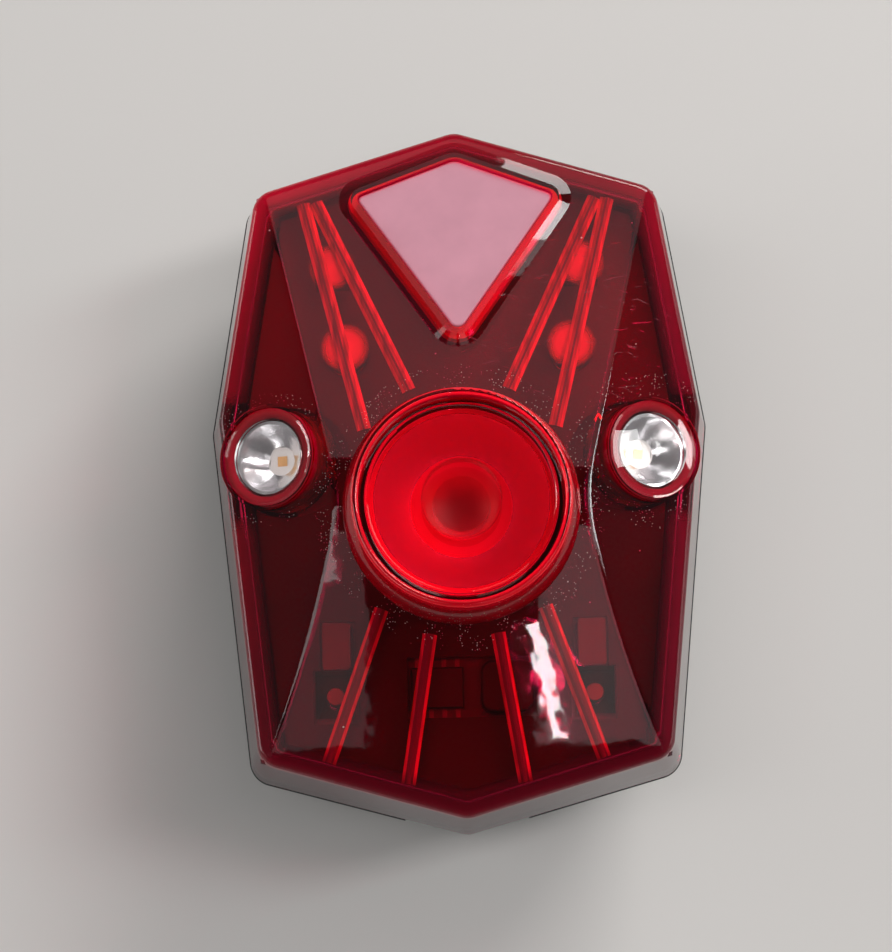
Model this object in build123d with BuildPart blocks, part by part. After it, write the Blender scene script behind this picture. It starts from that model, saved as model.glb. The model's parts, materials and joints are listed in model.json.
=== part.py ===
from build123d import *
import math
import os

os.makedirs("parts", exist_ok=True)

# Bicycle tail light, lying on the outer face of its belt clip. Sizes are in millimetres.
# +Z is the way the light shines, +Y points to its button end and +X to its right.
# The origin is under the middle of the outline, on the floor.

# Outline of the cover's lower edge: half widths and heights of its corners from the middle
tip_y = 34.5
top_corner_x = 20.6
top_corner_y = 28.1
side_corner_x = 24.3
side_corner_y = 5.2
low_corner_x = 20.7
low_corner_y = -28.8
corner_round = 2.4
least_round = 0.3

# Depths, from the floor up
clip_thickness = 2.2
strap_gap = 5.0
case_depth = 9.4
gasket_thickness = 0.4
cover_height = 13.0
turret_height = 5.0

# Cover: wall, roof and the slopes of the roof
wall = 1.8
roof = 1.8
cover_draft = 9.0
ridge_y = -3.2
ridge_half_width = 11.6
top_slope = 0.104
low_slope = 0.075
low_bend = 216.0
side_slope = 0.4545
ridge_round = 40.0
edge_round = 0.8
hollow_round = 0.4
skirt_below = 3.0

# Turret that holds the main lens
turret_y = -4.1
turret_wall = 0.7
turret_neck_reach = 0.2
turret_foot_reach = 0.9
turret_foot_round = 3.2
lens_seat_r = 9.5
lens_ledge = 0.5
lens_seat_depth = 3.8
turret_skirt = 0.8
turret_foot_rise = 0.15
turret_neck_share = 0.25
turret_edge_round = 0.3

# Main lens, a solid collimator with a hollow for the emitter
lens_seat_gap = 0.15
lens_flange_reach = 0.35
lens_flange = 0.8
lens_below_rim = 0.9
lens_edge_round = 0.4
lens_eye_r = 3.7
lens_eye_depth = 2.4
lens_eye_crown = 0.15
lens_back_r = 4.8
lens_stand = 2.4
lens_core = 2.2
lens_well_r = 2.6
lens_well_crown = 0.5
seal_thickness = 0.5

# Cup round the collimator, and the emitter under it
cup_gap = 0.12
cup_bore_gap = 0.28
cup_wall = 0.4
star_r = 6.0
star_thickness = 1.6
star_notch_r = 0.8
star_notches = 6
emitter_side = 3.4
emitter_thickness = 0.6
emitter_dome_r = 1.4

# Side lamps, set square to the sloping sides
window_x = 18.2
window_y = 1.2
window_bore_r = 3.6
window_lip = 0.3
window_rise = 0.45
window_flange_reach = 1.05
window_flange = 0.5
window_plug = 0.7
window_crown = 0.25
window_edge = 0.2
window_gap = 0.05
dish_gap = 0.1
dish_throat_r = 1.35
dish_wall = 0.3
dish_depth = 2.1
side_led_side = 2.6
side_led_thickness = 0.7
side_die_side = 0.9
side_die_thickness = 0.12
side_board_gap = 0.15
side_board_thickness = 0.8
tube_depth = 4.7
side_pin_r = 0.3
side_pin_spacing = 1.6
side_pin_gap = 0.15
side_pin_below = 0.6

# Kite button, its frame on the cover and the switch under it
kite_top_y = 30.0
kite_side_y = 26.3
kite_half_width = 9.55
kite_low_y = 12.5
kite_top_round = 1.5
kite_side_round = 0.5
kite_low_round = 0.9
kite_gap = 0.12
bezel_width = 1.9
bezel_rise = 0.55
bezel_slope_width = 1.15
bezel_slope_drop = 0.45
cap_below_bezel = 0.35
cap_edge_round = 0.25
cap_lip = 0.7
cap_lip_thickness = 0.8
cap_lip_gap = 0.1
cap_stem_r = 1.9
cap_stem_y = 21.5
button_travel = 0.6
switch_side = 4.5
switch_height = 1.9
plunger_r = 1.3
plunger_gap = 0.08
plunger_rise = 1.2
plunger_sunk = 0.4

# Rays: grooves with sloping sides in the underside of the roof, start to end on the right half
upper_ray_width = 1.35
low_ray_width = 1.35
ray_top_width = 0.2
ray_slope = 1.0
ray_sink = 0.5
upper_ray_out_x1 = 14.7
upper_ray_out_y1 = 26.1
upper_ray_out_x2 = 9.05
upper_ray_out_y2 = 3.4
upper_ray_in_x1 = 13.5
upper_ray_in_y1 = 26.2
upper_ray_in_x2 = 4.75
upper_ray_in_y2 = 7.15
low_ray_out_x1 = 7.7
low_ray_out_y1 = -13.5
low_ray_out_x2 = 12.9
low_ray_out_y2 = -27.6
low_ray_in_x1 = 3.2
low_ray_in_y1 = -15.9
low_ray_in_x2 = 5.5
low_ray_in_y2 = -29.7

# Circuit board, its screw posts and what is soldered on it
board_gap_below = 0.4
board_thickness = 1.0
board_half_width = 15.5
board_gap = 0.5
round_post_x = 10.8
round_post_y = 11.6
round_post_r = 1.9
square_post_x = 12.2
square_post_y = -21.3
square_post_w = 3.6
square_post_h = 4.4
press_post_x = 12.0
press_post_y = 19.7
press_post_w = 3.2
press_post_h = 3.6
screw_r = 0.8
screw_length = 4.0
screw_head_r = 1.6
screw_head = 1.1
screw_slot = 0.4
screw_slot_length = 2.1
screw_hole_gap = 0.15
block_x = 12.05
block_gap = 0.2
block_w = 2.6
block_h = 4.4
block_below_roof = 1.3
chip_x = -2.6
chip_y = -20.6
chip_w = 5.0
chip_h = 3.9
chip_height = 1.4
chip_stand = 0.15
chip_legs = 4
chip_leg_pitch = 1.27
chip_leg_w = 0.45
chip_leg_reach = 0.9
coil_gap = 1.6
coil_side = 5.0
coil_height = 2.6
coil_round = 1.2
part_pitch = 2.6
part_w = 1.6
part_h = 0.9
part_height = 0.8
part_count = 5
part_row_y = -26.6

# Black inner frame that shields the board
frame_clearance = 0.1
frame_thickness = 0.8
frame_gap = 1.3
frame_hole_gap = 0.35
frame_foot_r = 1.0
frame_foot_top_x = 9.0
frame_foot_top_y = 24.0
frame_foot_low_x = 9.5
frame_foot_low_y = -26.5

# Back case
case_draft = 7.0
case_wall = 1.8
case_floor = 1.6
case_edge_round = 2.0
case_lip = 0.12
case_land = 1.5
spigot_gap = 0.55
pilot_gap = 0.05
spigot_wall = 1.0
spigot_height = 2.0
coin_slot_w = 12.0
coin_slot_height = 1.6
coin_slot_depth = 2.2
gasket_inset = 0.3
gasket_width = 1.3

# Two AAA cells in their cradle
cell_r = 5.25
cell_length = 44.5
cell_nub_r = 1.9
cell_nub = 0.9
cell_spacing = 10.9
cell_gap = 0.1
cell_end_round = 0.5
cradle_floor = 0.5
cradle_side = 0.8
cradle_height = 4.6
cradle_end_room = 1.1
cradle_end_wall = 1.5
cradle_end_height = 9.4
contact_thickness = 0.3
contact_w = 6.0
contact_height = 6.4
contact_tab_w = 3.0
contact_tab_gap = 0.05
contact_bump_r = 1.2
contact_leaf_h = 4.0
contact_leaf_w = 3.0

# Belt clip, snapped into a saddle on the back of the case
clip_w = 16.0
clip_root_y = 17.2
clip_tip_y = -27.0
clip_corner_round = 5.0
clip_bead_r = 1.7
clip_bead_gap = 0.08
clip_bead_below = 2.0
clip_side_gap = 0.3
clip_arm = 1.9
clip_tooth = 1.6
clip_tooth_length = 5.0
clip_tooth_crest = 3.5
clip_tooth_inset = 2.5
clip_edge_round = 0.5
clip_groove = 0.4
clip_groove_w = 1.2
clip_groove_pitch = 2.6
clip_groove_count = 4
saddle_wall = 1.2
saddle_half_depth = 3.0
saddle_drop = 3.7
saddle_slot_gap = 0.45

# Heights that follow from the depths
z_back = clip_thickness + strap_gap
z_floor = z_back + case_floor
z_rim = z_back + case_depth
z_seam = z_rim + gasket_thickness
z_ridge = z_seam + cover_height
z_turret = z_ridge + turret_height
z_cell = z_floor + cradle_floor + cell_gap + cell_r
z_board = z_cell + cell_r + board_gap_below
z_board_top = z_board + board_thickness
z_star_top = z_board_top + star_thickness
z_frame = z_board_top + part_height + frame_clearance
far = 60.0

# Radii that follow from the lens seat and from the side lamps' bore
turret_r = lens_seat_r + turret_wall
turret_foot_r = turret_r + turret_foot_reach
lens_bore_r = lens_seat_r - lens_ledge
lens_flange_r = lens_seat_r - lens_seat_gap
lens_r = lens_flange_r - lens_flange_reach
lens_throat_r = lens_bore_r - cup_bore_gap - cup_wall - cup_gap
window_plug_r = window_bore_r - window_gap
window_flange_r = window_bore_r + window_flange_reach
window_tube_r = window_flange_r + window_gap + window_lip
dish_r = window_bore_r - dish_gap
dish_mouth_r = dish_r - dish_wall
side_board_r = window_bore_r - side_board_gap
side_angle = math.degrees(math.atan(side_slope))

outline_corners = [
    (0, -tip_y),
    (low_corner_x, low_corner_y),
    (side_corner_x, side_corner_y),
    (top_corner_x, top_corner_y),
    (0, tip_y),
    (-top_corner_x, top_corner_y),
    (-side_corner_x, side_corner_y),
    (-low_corner_x, low_corner_y),
]
kite_corners = [
    (0, kite_low_y),
    (kite_half_width, kite_side_y),
    (0, kite_top_y),
    (-kite_half_width, kite_side_y),
]
kite_rounds = [kite_low_round, kite_side_round, kite_top_round, kite_side_round]


def inset_corners(corners, inset):
    """Corners of the same figure with every side moved inwards by inset."""
    moved = []
    for i, here in enumerate(corners):
        before = corners[i - 1]
        after = corners[(i + 1) % len(corners)]
        side_in = (Vector(*here) - Vector(*before)).normalized()
        side_out = (Vector(*after) - Vector(*here)).normalized()
        inward = Vector(-side_in.Y, side_in.X) + Vector(-side_out.Y, side_out.X)
        share = inset / (1 + side_in.dot(side_out))
        moved.append((here[0] + inward.X * share, here[1] + inward.Y * share))
    return moved


def rounded_figure(corners, rounds, inset):
    """Flat figure with rounded corners, its sides moved inwards by inset."""
    radii = [max(r - inset, least_round) for r in rounds]
    with BuildSketch() as figure:
        with BuildLine():
            FilletPolyline(*inset_corners(corners, inset), radius=radii, close=True)
        make_face()
    return figure.sketch


def outline(inset=0.0):
    return rounded_figure(outline_corners, [corner_round] * len(outline_corners), inset)


def kite(inset=0.0):
    return rounded_figure(kite_corners, kite_rounds, inset)


def roof_z(y):
    """Height of the roof's middle panel at y."""
    if y > ridge_y:
        return z_ridge - top_slope * (y - ridge_y)
    lean = math.atan(low_slope)
    bend_y = ridge_y + low_bend * math.sin(lean)
    bend_z = z_ridge - low_bend * math.cos(lean)
    return bend_z + math.sqrt(low_bend**2 - (y - bend_y) ** 2)


def side_z(x):
    """Height of the sloping side surface at x."""
    return z_ridge - side_slope * (abs(x) - ridge_half_width)


def above_roof(depth):
    """All the space above a surface that lies depth under the roof."""
    side_depth = depth / math.cos(math.radians(side_angle))
    with BuildPart() as space:
        with BuildSketch(Plane.YZ) as side_view:
            ridge = (ridge_y, z_ridge - depth)
            low_end = (-far, roof_z(-far) - depth)
            low_middle_y = (ridge_y - far) / 2
            with BuildLine():
                Polyline(ridge, (far, roof_z(far) - depth), (far, far), (-far, far), low_end)
                ThreePointArc(low_end, (low_middle_y, roof_z(low_middle_y) - depth), ridge)
            make_face()
            fillet(side_view.vertices().sort_by_distance(ridge)[0], ridge_round)
        extrude(amount=far, both=True)
        inner = ridge_half_width / 2
        for side in (-1, 1):
            with BuildSketch(Plane.XZ):
                with BuildLine():
                    Polyline(
                        (side * inner, side_z(inner) - side_depth),
                        (side * far, side_z(far) - side_depth),
                        (side * far, far),
                        (side * inner, far),
                        close=True,
                    )
                make_face()
            extrude(amount=far, both=True)
    return space.part


def drafted_block(inset, depth, rounding):
    """The cover's body with its walls moved in by inset, its roof by depth, and all its edges rounded."""
    lean = math.radians(cover_draft)
    core_inset = inset + rounding / math.cos(lean) - skirt_below * math.tan(lean)
    with BuildPart() as core:
        with BuildSketch(Plane.XY.offset(z_seam - skirt_below)):
            with BuildLine():
                Polyline(*inset_corners(outline_corners, core_inset), close=True)
            make_face()
        extrude(amount=skirt_below + cover_height + rounding, taper=cover_draft)
        upright = [e for e in core.edges() if abs((e @ 0).Z - (e @ 1).Z) > cover_height / 2]
        fillet(upright, max(corner_round - inset - rounding, least_round))
        add(above_roof(depth + rounding), mode=Mode.SUBTRACT)
    return offset(core.part.solids()[0], amount=rounding, kind=Kind.ARC)


def case_block(inset, floor, rounding):
    """The back case's body with its walls moved in by inset and its floor up, all its edges rounded."""
    lean = math.radians(case_draft)
    core_inset = inset + rounding / math.cos(lean) - skirt_below * math.tan(lean)
    with BuildPart() as core:
        with BuildSketch(Plane.XY.offset(z_rim + skirt_below)):
            with BuildLine():
                Polyline(*inset_corners(outline_corners, core_inset), close=True)
            make_face()
        extrude(amount=-(skirt_below + case_depth - floor - rounding), taper=case_draft)
        upright = [e for e in core.edges() if abs((e @ 0).Z - (e @ 1).Z) > case_depth / 4]
        fillet(upright, max(corner_round - inset - rounding, least_round))
    return offset(core.part.solids()[0], amount=rounding, kind=Kind.ARC)


def side_r(share):
    """Radius of the collimator's side at a share of its height."""
    return math.sqrt(lens_back_r**2 + share * (lens_throat_r**2 - lens_back_r**2))


def crown_arc(edge, rise):
    """Arc from an edge point to the axis, where it stands rise above the edge."""
    ball = (edge[0] ** 2 + rise**2) / (2 * rise)
    middle = edge[0] / 2
    height = edge[1] + rise - ball + math.copysign(math.sqrt(ball**2 - middle**2), ball)
    return ThreePointArc(edge, (middle, height), (0, edge[1] + rise))


def pin_places(side):
    """Places of a side lamp's pins, under the inner half of its board."""
    board_back = window_frame(side, board_front + side_board_thickness)
    reach = side_board_r / 2 * math.cos(math.radians(side_angle))
    x = board_back.origin.X - side * reach
    return [(x, window_y + place * side_pin_spacing) for place in (-0.5, 0.5)]


def finish(builder, name):
    builder.part.label = name
    export_step(builder.part, f"parts/{name}.step")


def window_frame(side, depth=0.0):
    """Plane square to a side lamp's axis, depth below the sloping side."""
    out = Vector(side * math.sin(math.radians(side_angle)), 0, math.cos(math.radians(side_angle)))
    middle = Vector(side * window_x, window_y, side_z(window_x)) - out * depth
    return Plane(origin=middle, x_dir=(0, 1, 0), z_dir=out)


def window_section(side):
    """Plane that holds a side lamp's axis, with the axis as its second direction."""
    face = window_frame(side)
    return Plane(origin=face.origin, x_dir=(0, 1, 0), z_dir=Vector(0, 1, 0).cross(face.z_dir))


def ray_plane(x1, y1, x2, y2):
    """Plane across a ray at its start, on the roof's underside, with its length."""
    start = Vector(x1, y1, roof_z(y1) - roof)
    end = Vector(x2, y2, roof_z(y2) - roof)
    along = (end - start).normalized()
    across = Vector(0, 0, 1).cross(along).normalized()
    return Plane(origin=start, x_dir=across, z_dir=along), (end - start).length


sides = (("left", -1), ("right", 1))
turret_plane = Plane(origin=(0, turret_y, 0), x_dir=(1, 0, 0), z_dir=(0, -1, 0))
turret_axis = Axis((0, turret_y, 0), (0, 0, 1))
z_lens_top = z_turret - lens_below_rim
z_lens_seat = z_turret - lens_seat_depth
z_flange = z_lens_seat + seal_thickness
z_lens_back = z_star_top + lens_stand
dish_top = window_flange - window_rise + window_plug + window_gap
dish_back = dish_top + dish_depth + dish_wall
board_front = dish_back + side_led_thickness


# Front cover: a drafted shell with a ridge, sloping sides, turret, lamp tubes, kite frame and posts
outer_form = drafted_block(0.0, 0.0, edge_round)
hollow_form = drafted_block(wall, roof, hollow_round)
with BuildPart() as kite_frame:
    with BuildSketch(Plane.XY.offset(z_seam + cover_height / 2)):
        add(kite(-bezel_width))
    extrude(amount=cover_height)
    add(above_roof(-bezel_rise), mode=Mode.SUBTRACT)
    frame_face = kite_frame.faces().sort_by(Axis.Z)[-1]
    chamfer(frame_face.edges(), length=bezel_slope_width, length2=bezel_slope_drop, reference=frame_face)

round_posts = [(side * round_post_x, round_post_y) for name, side in sides]
square_posts = [(side * square_post_x, square_post_y) for name, side in sides]
press_posts = [(side * press_post_x, press_post_y) for name, side in sides]
rays = [
    (upper_ray_out_x1, upper_ray_out_y1, upper_ray_out_x2, upper_ray_out_y2, upper_ray_width),
    (upper_ray_in_x1, upper_ray_in_y1, upper_ray_in_x2, upper_ray_in_y2, upper_ray_width),
    (low_ray_out_x1, low_ray_out_y1, low_ray_out_x2, low_ray_out_y2, low_ray_width),
    (low_ray_in_x1, low_ray_in_y1, low_ray_in_x2, low_ray_in_y2, low_ray_width),
]
skirt_z = z_ridge - roof - turret_skirt
foot_z = z_ridge - roof + turret_foot_rise
neck_z = z_ridge + turret_height * turret_neck_share
neck_r = turret_r + turret_neck_reach

with BuildPart() as front_cover:
    add(outer_form)
    split(bisect_by=Plane.XY.offset(z_seam), keep=Keep.TOP)
    add(kite_frame.part)
    add(hollow_form, mode=Mode.SUBTRACT)
    # Turret wall with its flared foot, standing through the roof
    with BuildSketch(turret_plane):
        with BuildLine():
            Polyline(
                (turret_foot_r, foot_z),
                (lens_seat_r + wall / 2, skirt_z),
                (lens_bore_r, skirt_z),
                (lens_bore_r, z_lens_seat),
                (lens_seat_r, z_lens_seat),
                (lens_seat_r, z_turret),
                (turret_r, z_turret),
                (neck_r, neck_z),
            )
            RadiusArc((neck_r, neck_z), (turret_foot_r, foot_z), turret_foot_round)
        make_face()
    revolve(axis=turret_axis)
    with BuildSketch(Plane.XY.offset(skirt_z)):
        with Locations((0, turret_y)):
            Circle(lens_bore_r)
    extrude(amount=far, mode=Mode.SUBTRACT)
    fillet(front_cover.edges().filter_by(GeomType.CIRCLE).group_by(Axis.Z)[-1], turret_edge_round)
    # Tubes that hold the side lamps
    for name, side in sides:
        with BuildSketch(window_frame(side, -window_rise)):
            Circle(window_tube_r)
        extrude(amount=-(window_rise + tube_depth))
    for name, side in sides:
        with BuildSketch(window_frame(side, -window_rise)):
            Circle(window_bore_r)
        extrude(amount=-(window_rise + tube_depth + wall), mode=Mode.SUBTRACT)
        with BuildSketch(window_frame(side, -window_rise)):
            Circle(window_flange_r + window_gap)
        extrude(amount=-(window_flange + window_gap), mode=Mode.SUBTRACT)
    # Screw posts down to the board, with pilot holes
    with BuildSketch(Plane.XY.offset(z_board_top)):
        with Locations(*round_posts):
            Circle(round_post_r)
    extrude(amount=roof_z(round_post_y) - roof / 2 - z_board_top)
    with BuildSketch(Plane.XY.offset(z_board_top)):
        with Locations(*square_posts):
            Rectangle(square_post_w, square_post_h)
    extrude(amount=roof_z(square_post_y) - roof / 2 - z_board_top)
    # Posts that keep the inner frame down
    with BuildSketch(Plane.XY.offset(z_frame + frame_thickness + frame_clearance)):
        with Locations(*press_posts):
            Rectangle(press_post_w, press_post_h)
    extrude(amount=roof_z(press_post_y) - roof / 2 - z_frame - frame_thickness)
    with BuildSketch(Plane.XY.offset(z_board_top)):
        with Locations(*round_posts, *square_posts):
            Circle(screw_r + pilot_gap)
    extrude(amount=screw_length - board_thickness + pilot_gap, mode=Mode.SUBTRACT)
    # Opening for the button
    with BuildSketch(Plane.XY.offset(z_seam + cover_height / 2)):
        add(kite(-kite_gap))
    extrude(amount=cover_height, mode=Mode.SUBTRACT)
    # Rays in the underside of the roof
    for x1, y1, x2, y2, width in rays:
        ray_depth = (width - ray_top_width) / 2 * ray_slope
        for name, side in sides:
            across, length = ray_plane(side * x1, y1, side * x2, y2)
            with BuildSketch(across):
                with BuildLine():
                    Polyline(
                        (-width / 2, -ray_sink),
                        (width / 2, -ray_sink),
                        (width / 2, 0),
                        (ray_top_width / 2, ray_depth),
                        (-ray_top_width / 2, ray_depth),
                        (-width / 2, 0),
                        close=True,
                    )
                make_face()
            extrude(amount=length, mode=Mode.SUBTRACT)
finish(front_cover, "front_cover")

# Main lens: a solid collimator with an eye in its face and a well over the emitter
with BuildPart() as main_lens:
    with BuildSketch(turret_plane):
        eye_z = z_lens_top - lens_eye_depth
        well_z = eye_z - lens_core
        with BuildLine():
            Polyline(
                (lens_eye_r, eye_z),
                (lens_eye_r, z_lens_top),
                (lens_r, z_lens_top),
                (lens_r, z_flange + lens_flange),
                (lens_flange_r, z_flange + lens_flange),
                (lens_flange_r, z_flange),
                (lens_throat_r, z_flange),
            )
            lens_middle = (side_r(0.5), (z_flange + z_lens_back) / 2)
            ThreePointArc((lens_throat_r, z_flange), lens_middle, (lens_back_r, z_lens_back))
            Polyline((lens_back_r, z_lens_back), (lens_well_r, z_lens_back), (lens_well_r, well_z))
            crown_arc((lens_well_r, well_z), -lens_well_crown)
            Line((0, well_z - lens_well_crown), (0, eye_z + lens_eye_crown))
            crown_arc((lens_eye_r, eye_z), lens_eye_crown)
        make_face()
    revolve(axis=turret_axis)
    rim = main_lens.edges().filter_by(GeomType.CIRCLE).group_by(Axis.Z)[-1]
    fillet(rim.sort_by(SortBy.RADIUS)[-1], lens_edge_round)
finish(main_lens, "main_lens")

# Seal under the lens flange
with BuildPart() as lens_seal:
    with BuildSketch(Plane.XY.offset(z_lens_seat)):
        with Locations((0, turret_y)):
            Circle(lens_flange_r)
            Circle(lens_bore_r, mode=Mode.SUBTRACT)
    extrude(amount=seal_thickness)
finish(lens_seal, "lens_seal")

# Reflector cup round the collimator, standing on the star board
with BuildPart() as main_reflector:
    with BuildSketch(turret_plane):
        inner_top = lens_throat_r + cup_gap
        inner_low = lens_back_r + cup_gap
        cup_floor = z_lens_back - cup_gap
        cup_middle = (z_lens_seat + z_lens_back) / 2
        with BuildLine():
            cup_bulge = (side_r(0.5) + cup_gap, cup_middle)
            ThreePointArc((inner_top, z_lens_seat), cup_bulge, (inner_low, z_lens_back))
            Polyline(
                (inner_low, z_lens_back),
                (inner_low, cup_floor),
                (emitter_dome_r + frame_hole_gap, cup_floor),
                (emitter_dome_r + frame_hole_gap, cup_floor - cup_wall),
                (inner_low - cup_wall, cup_floor - cup_wall),
                (inner_low - cup_wall, z_star_top),
                (inner_low + cup_wall, z_star_top),
                (inner_low + cup_wall, z_lens_back),
            )
            ThreePointArc(
                (inner_low + cup_wall, z_lens_back),
                (side_r(0.5) + cup_gap + cup_wall, cup_middle),
                (inner_top + cup_wall, z_lens_seat),
            )
            Line((inner_top + cup_wall, z_lens_seat), (inner_top, z_lens_seat))
        make_face()
    revolve(axis=turret_axis)
finish(main_reflector, "main_reflector")

# Star board that carries the emitter
with BuildPart() as star_board:
    with BuildSketch(Plane.XY.offset(z_board_top)):
        with Locations((0, turret_y)):
            Circle(star_r)
            with PolarLocations(star_r, star_notches, start_angle=180 / star_notches):
                Circle(star_notch_r, mode=Mode.SUBTRACT)
    extrude(amount=star_thickness)
finish(star_board, "star_board")

# Main emitter: its base and its clear dome
with BuildPart() as main_emitter:
    with BuildSketch(Plane.XY.offset(z_star_top)):
        with Locations((0, turret_y)):
            RectangleRounded(emitter_side, emitter_side, least_round)
    extrude(amount=emitter_thickness)
finish(main_emitter, "main_emitter")

with BuildPart() as emitter_dome:
    with Locations((0, turret_y, z_star_top + emitter_thickness)):
        Sphere(emitter_dome_r, arc_size1=0, arc_size2=90, align=(Align.CENTER, Align.CENTER, Align.MIN))
finish(emitter_dome, "emitter_dome")

# Side lamps: window, chrome dish, emitter, its die, board and pins
for name, side in sides:
    section = window_section(side)
    lamp_axis = Axis(section.origin, section.y_dir)

    with BuildPart() as side_window:
        with BuildSketch(section):
            with BuildLine():
                crown_arc((window_flange_r - window_edge, window_rise), window_crown)
                Polyline(
                    (window_flange_r - window_edge, window_rise),
                    (window_flange_r, window_rise - window_edge),
                    (window_flange_r, window_rise - window_flange),
                    (window_plug_r, window_rise - window_flange),
                    (window_plug_r, window_rise - window_flange - window_plug),
                    (0, window_rise - window_flange - window_plug),
                    (0, window_rise + window_crown),
                )
            make_face()
        revolve(axis=lamp_axis)
    finish(side_window, f"side_window_{name}")

    with BuildPart() as side_reflector:
        with BuildSketch(section):
            middle_r = math.sqrt((dish_mouth_r**2 + dish_throat_r**2) / 2)
            with BuildLine():
                ThreePointArc(
                    (dish_mouth_r, -dish_top),
                    (middle_r, -dish_top - dish_depth / 2),
                    (dish_throat_r, -dish_top - dish_depth),
                )
                Polyline(
                    (dish_throat_r, -dish_top - dish_depth),
                    (dish_throat_r, -dish_back),
                    (dish_r, -dish_back),
                    (dish_r, -dish_top),
                    (dish_mouth_r, -dish_top),
                )
            make_face()
        revolve(axis=lamp_axis)
    finish(side_reflector, f"side_reflector_{name}")

    with BuildPart() as side_led:
        with BuildSketch(window_frame(side, dish_back)):
            Rectangle(side_led_side, side_led_side)
        extrude(amount=-side_led_thickness)
    finish(side_led, f"side_led_{name}")

    with BuildPart() as side_die:
        with BuildSketch(window_frame(side, dish_back)):
            Rectangle(side_die_side, side_die_side)
        extrude(amount=side_die_thickness)
    finish(side_die, f"side_die_{name}")

    with BuildPart() as side_board:
        with BuildSketch(window_frame(side, board_front)):
            Circle(side_board_r)
        extrude(amount=-side_board_thickness)
    finish(side_board, f"side_board_{name}")

    with BuildPart() as side_pins:
        board_back = window_frame(side, board_front + side_board_thickness)
        with BuildSketch(Plane.XY.offset(z_board - side_pin_below)):
            with Locations(*pin_places(side)):
                Circle(side_pin_r)
        extrude(amount=cover_height)
        split(bisect_by=board_back, keep=Keep.BOTTOM)
    finish(side_pins, f"side_pins_{name}")

# Circuit board, screwed to the cover's posts
board_inset = wall + (z_board_top - z_seam) * math.tan(math.radians(cover_draft)) + board_gap
with BuildPart() as circuit_board:
    with BuildSketch(Plane.XY.offset(z_board)):
        add(outline(board_inset))
        Rectangle(2 * board_half_width, far * 2, mode=Mode.INTERSECT)
        with Locations(*round_posts, *square_posts):
            Circle(screw_r + screw_hole_gap, mode=Mode.SUBTRACT)
        with Locations(*pin_places(-1), *pin_places(1)):
            Circle(side_pin_r + side_pin_gap, mode=Mode.SUBTRACT)
    extrude(amount=board_thickness)
finish(circuit_board, "circuit_board")

with BuildPart() as board_screws:
    with BuildSketch(Plane.XY.offset(z_board - screw_head)):
        with Locations(*round_posts, *square_posts):
            Circle(screw_head_r)
    extrude(amount=screw_head)
    with BuildSketch(Plane.XY.offset(z_board)):
        with Locations(*round_posts, *square_posts):
            Circle(screw_r)
    extrude(amount=screw_length)
    with BuildSketch(Plane.XY.offset(z_board - screw_head)):
        with Locations(*round_posts, *square_posts):
            Rectangle(screw_slot_length, screw_slot)
            Rectangle(screw_slot, screw_slot_length)
    extrude(amount=screw_head / 2, mode=Mode.SUBTRACT)
finish(board_screws, "board_screws")

# Driver on the board: chip with its legs, coil and a row of small parts
coil_x = chip_x + (chip_w + coil_side) / 2 + coil_gap
block_y = square_post_y + (square_post_h + block_h) / 2 + block_gap
with BuildPart() as driver_chip:
    with BuildSketch(Plane.XY.offset(z_board_top + chip_stand)):
        with Locations((chip_x, chip_y)):
            Rectangle(chip_w, chip_h)
    extrude(amount=chip_height)
    chamfer(driver_chip.faces().sort_by(Axis.Z)[-1].edges(), chip_stand)
finish(driver_chip, "driver_chip")

with BuildPart() as chip_leg_row:
    for end in (-1, 1):
        middle_y = chip_y + end * (chip_h + chip_leg_reach) / 2
        with BuildSketch(Plane.XY.offset(z_board_top)):
            with Locations((chip_x, middle_y)):
                with GridLocations(chip_leg_pitch, 1, chip_legs, 1):
                    Rectangle(chip_leg_w, chip_leg_reach)
        extrude(amount=chip_stand * 2)
finish(chip_leg_row, "chip_legs")

with BuildPart() as driver_coil:
    with BuildSketch(Plane.XY.offset(z_board_top)):
        with Locations((coil_x, chip_y)):
            RectangleRounded(coil_side, coil_side, coil_round)
    extrude(amount=coil_height)
    fillet(driver_coil.faces().sort_by(Axis.Z)[-1].edges(), coil_round / 3)
finish(driver_coil, "driver_coil")

with BuildPart() as board_parts:
    with BuildSketch(Plane.XY.offset(z_board_top)):
        with Locations((0, part_row_y)):
            with GridLocations(part_pitch, 1, part_count, 1):
                Rectangle(part_w, part_h)
    extrude(amount=part_height)
finish(board_parts, "board_parts")

for name, side in sides:
    with BuildPart() as terminal_block:
        with BuildSketch(Plane.XY.offset(z_board_top)):
            with Locations((side * block_x, block_y)):
                Rectangle(block_w, block_h)
        extrude(amount=roof_z(block_y) - roof - block_below_roof - z_board_top)
        fillet(terminal_block.edges().filter_by(Axis.Z), least_round)
    finish(terminal_block, f"terminal_block_{name}")

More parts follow.
